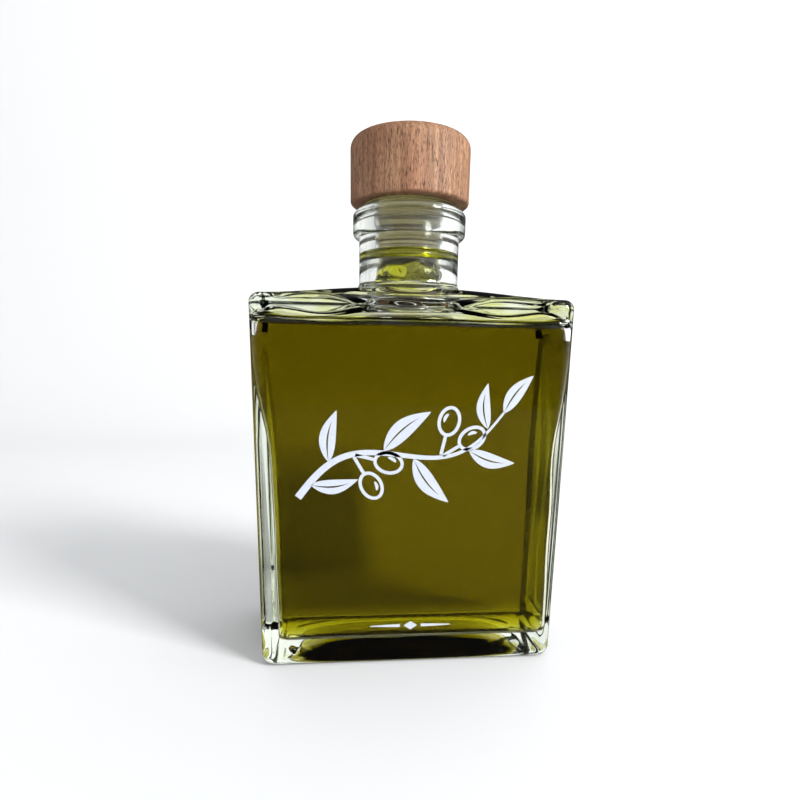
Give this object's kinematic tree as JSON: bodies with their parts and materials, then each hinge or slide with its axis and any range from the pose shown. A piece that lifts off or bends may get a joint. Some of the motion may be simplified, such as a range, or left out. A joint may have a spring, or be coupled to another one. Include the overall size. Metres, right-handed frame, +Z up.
{
  "type": "olive oil bottle",
  "caption": "Flat rectangular clear glass bottle of dark green olive oil, with a short round neck and a wooden-headed stopper.",
  "frame": {"origin": "centre of the base, on the surface that the bottle stands on", "axes": "+Z up along the neck, -Y out of the broad front, +X to the right as the front is seen"},
  "size_m": [0.085, 0.045, 0.1452],
  "materials": {
    "clear_glass": "clear, polished, faintly grey-green where thick",
    "olive_oil": "clear dark olive-green liquid",
    "clear_plastic": "cloudy translucent plastic, wet with oil at its end",
    "beech_wood": "bare fine-sanded beech with short dark flecks along the grain",
    "white_enamel": "thin printed enamel, satin"
  },
  "bodies": {
    "root": {"glass_bottle": "clear_glass", "olive_oil": "olive_oil", "stopper_plug": "clear_plastic", "stopper_head": "beech_wood"}
  },
  "joints": []
}
